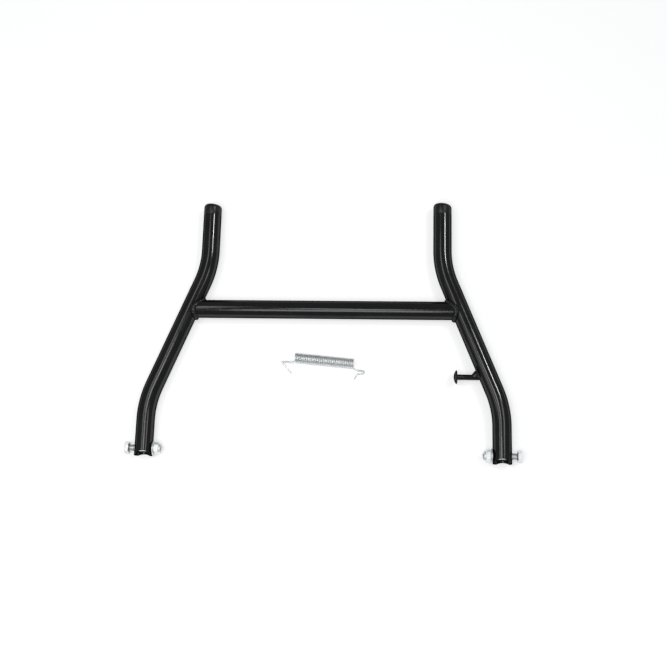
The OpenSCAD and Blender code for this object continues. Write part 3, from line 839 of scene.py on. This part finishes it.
pick = add(tree, "ShaderNodeMixShader", [(0, seen.outputs[0])])
tree.links.new(paper.outputs[0], pick.inputs[1])
tree.links.new(both.outputs[0], pick.inputs[2])
add(tree, "ShaderNodeOutputMaterial", [("Surface", pick.outputs[0])])
mesh.materials.append(white)
print("table top:", 2 * TABLE_HALF, "m wide, with", len(tree.nodes), "nodes in its material")

# %% [markdown]
# A round bar mirrors almost the whole room, so each lamp is one streak along it. The lamps were placed
# by following the streaks of the picture from the tubes to the ceiling. The strong bright lamp, far
# off on the right, gives the thin line on the upper legs. It hangs much higher than the others, so
# its line fades where the right leg bends and comes back near its end, as in the picture. Two lamps
# overhead give the line on the crossbar, and the wide weak ones the soft grey streaks.

# %% Lamps and room light
scene = bpy.context.scene
scene.view_settings.view_transform = "Standard"
room = bpy.data.worlds.new("studio")
scene.world = room
room.use_nodes = True
room.node_tree.nodes["Background"].inputs["Color"].default_value = (0.95, 0.97, 1, 1)
room.node_tree.nodes["Background"].inputs["Strength"].default_value = 0.25


def lamp(name, place, width, length, watts):
    """A rectangular soft lamp at place, in metres, that faces the stand."""
    light = bpy.data.lights.new(name, "AREA")
    light.shape = "RECTANGLE"
    light.size, light.size_y = width, length
    light.energy = watts
    holder = bpy.data.objects.new(name, light)
    scene.collection.objects.link(holder)
    holder.location = place
    holder.rotation_euler = Vector(place).to_track_quat("Z", "Y").to_euler()
    print(f"{name}: radiance {watts / (pi * width * length):.2f}")


lamp("main lamp", (-0.07, -0.53, 1.2), 0.54, 0.44, 2.8)
lamp("core lamp", (-0.03, -0.06, 1.2), 0.32, 0.16, 0.9)
lamp("bright lamp", (4.9, 2.95, 8), 0.9, 0.6, 105)
lamp("right lamp", (0.70, 0.06, 1.2), 0.24, 0.30, 0.7)
lamp("left lamp", (-0.50, 0.09, 1.2), 0.85, 0.26, 1.8)
lamp("wide lamp", (-1.0, -0.55, 1.2), 1.0, 0.50, 1.3)

# %% [markdown]
# The camera stands where the photographer stood: almost straight above, a little to the right and
# towards the pivots, and turned. Its place, its turn and its lens were worked out from the straight
# edges of the tubes. The small shift puts the object where it sits in the picture.

# %% Camera
camera = bpy.data.objects.new("camera", bpy.data.cameras.new("camera"))
scene.collection.objects.link(camera)
scene.camera = camera
AZIMUTH, ELEVATION, ROLL = radians(25.0), radians(75.538), radians(-23.849)
AIM = Vector((-24.808, 30.779, 11.1)) * MM
DISTANCE = 1218.28 * MM
back = Vector((sin(AZIMUTH) * cos(ELEVATION), -cos(AZIMUTH) * cos(ELEVATION), sin(ELEVATION)))
across = (-back).cross(Vector((0, 0, 1))).normalized()
upwards = across.cross(-back).normalized()
turned_across = cos(ROLL) * across + sin(ROLL) * upwards
turned_upwards = cos(ROLL) * upwards - sin(ROLL) * across
turn = Matrix((turned_across, turned_upwards, back)).transposed().to_4x4()
camera.matrix_world = Matrix.Translation(AIM + back * DISTANCE) @ turn
camera.data.lens = 53.963
camera.data.sensor_width = 36
camera.data.shift_x, camera.data.shift_y = 0.045, -0.045
camera.data.clip_start = 0.05
print("camera at", [round(c, 3) for c in camera.location])

# %% [markdown]
# Last, the faces of all the finished pieces are counted. Each piece was already held against its
# part's box as it was finished, since the look has to fill the same box as the engineering model, so
# that the stand still fits where the model says.

# %% Faces of the finished pieces
faces = sum(len(piece.data.polygons) for piece in made_pieces.values())
print(len(made_pieces), "pieces with", faces, "faces")
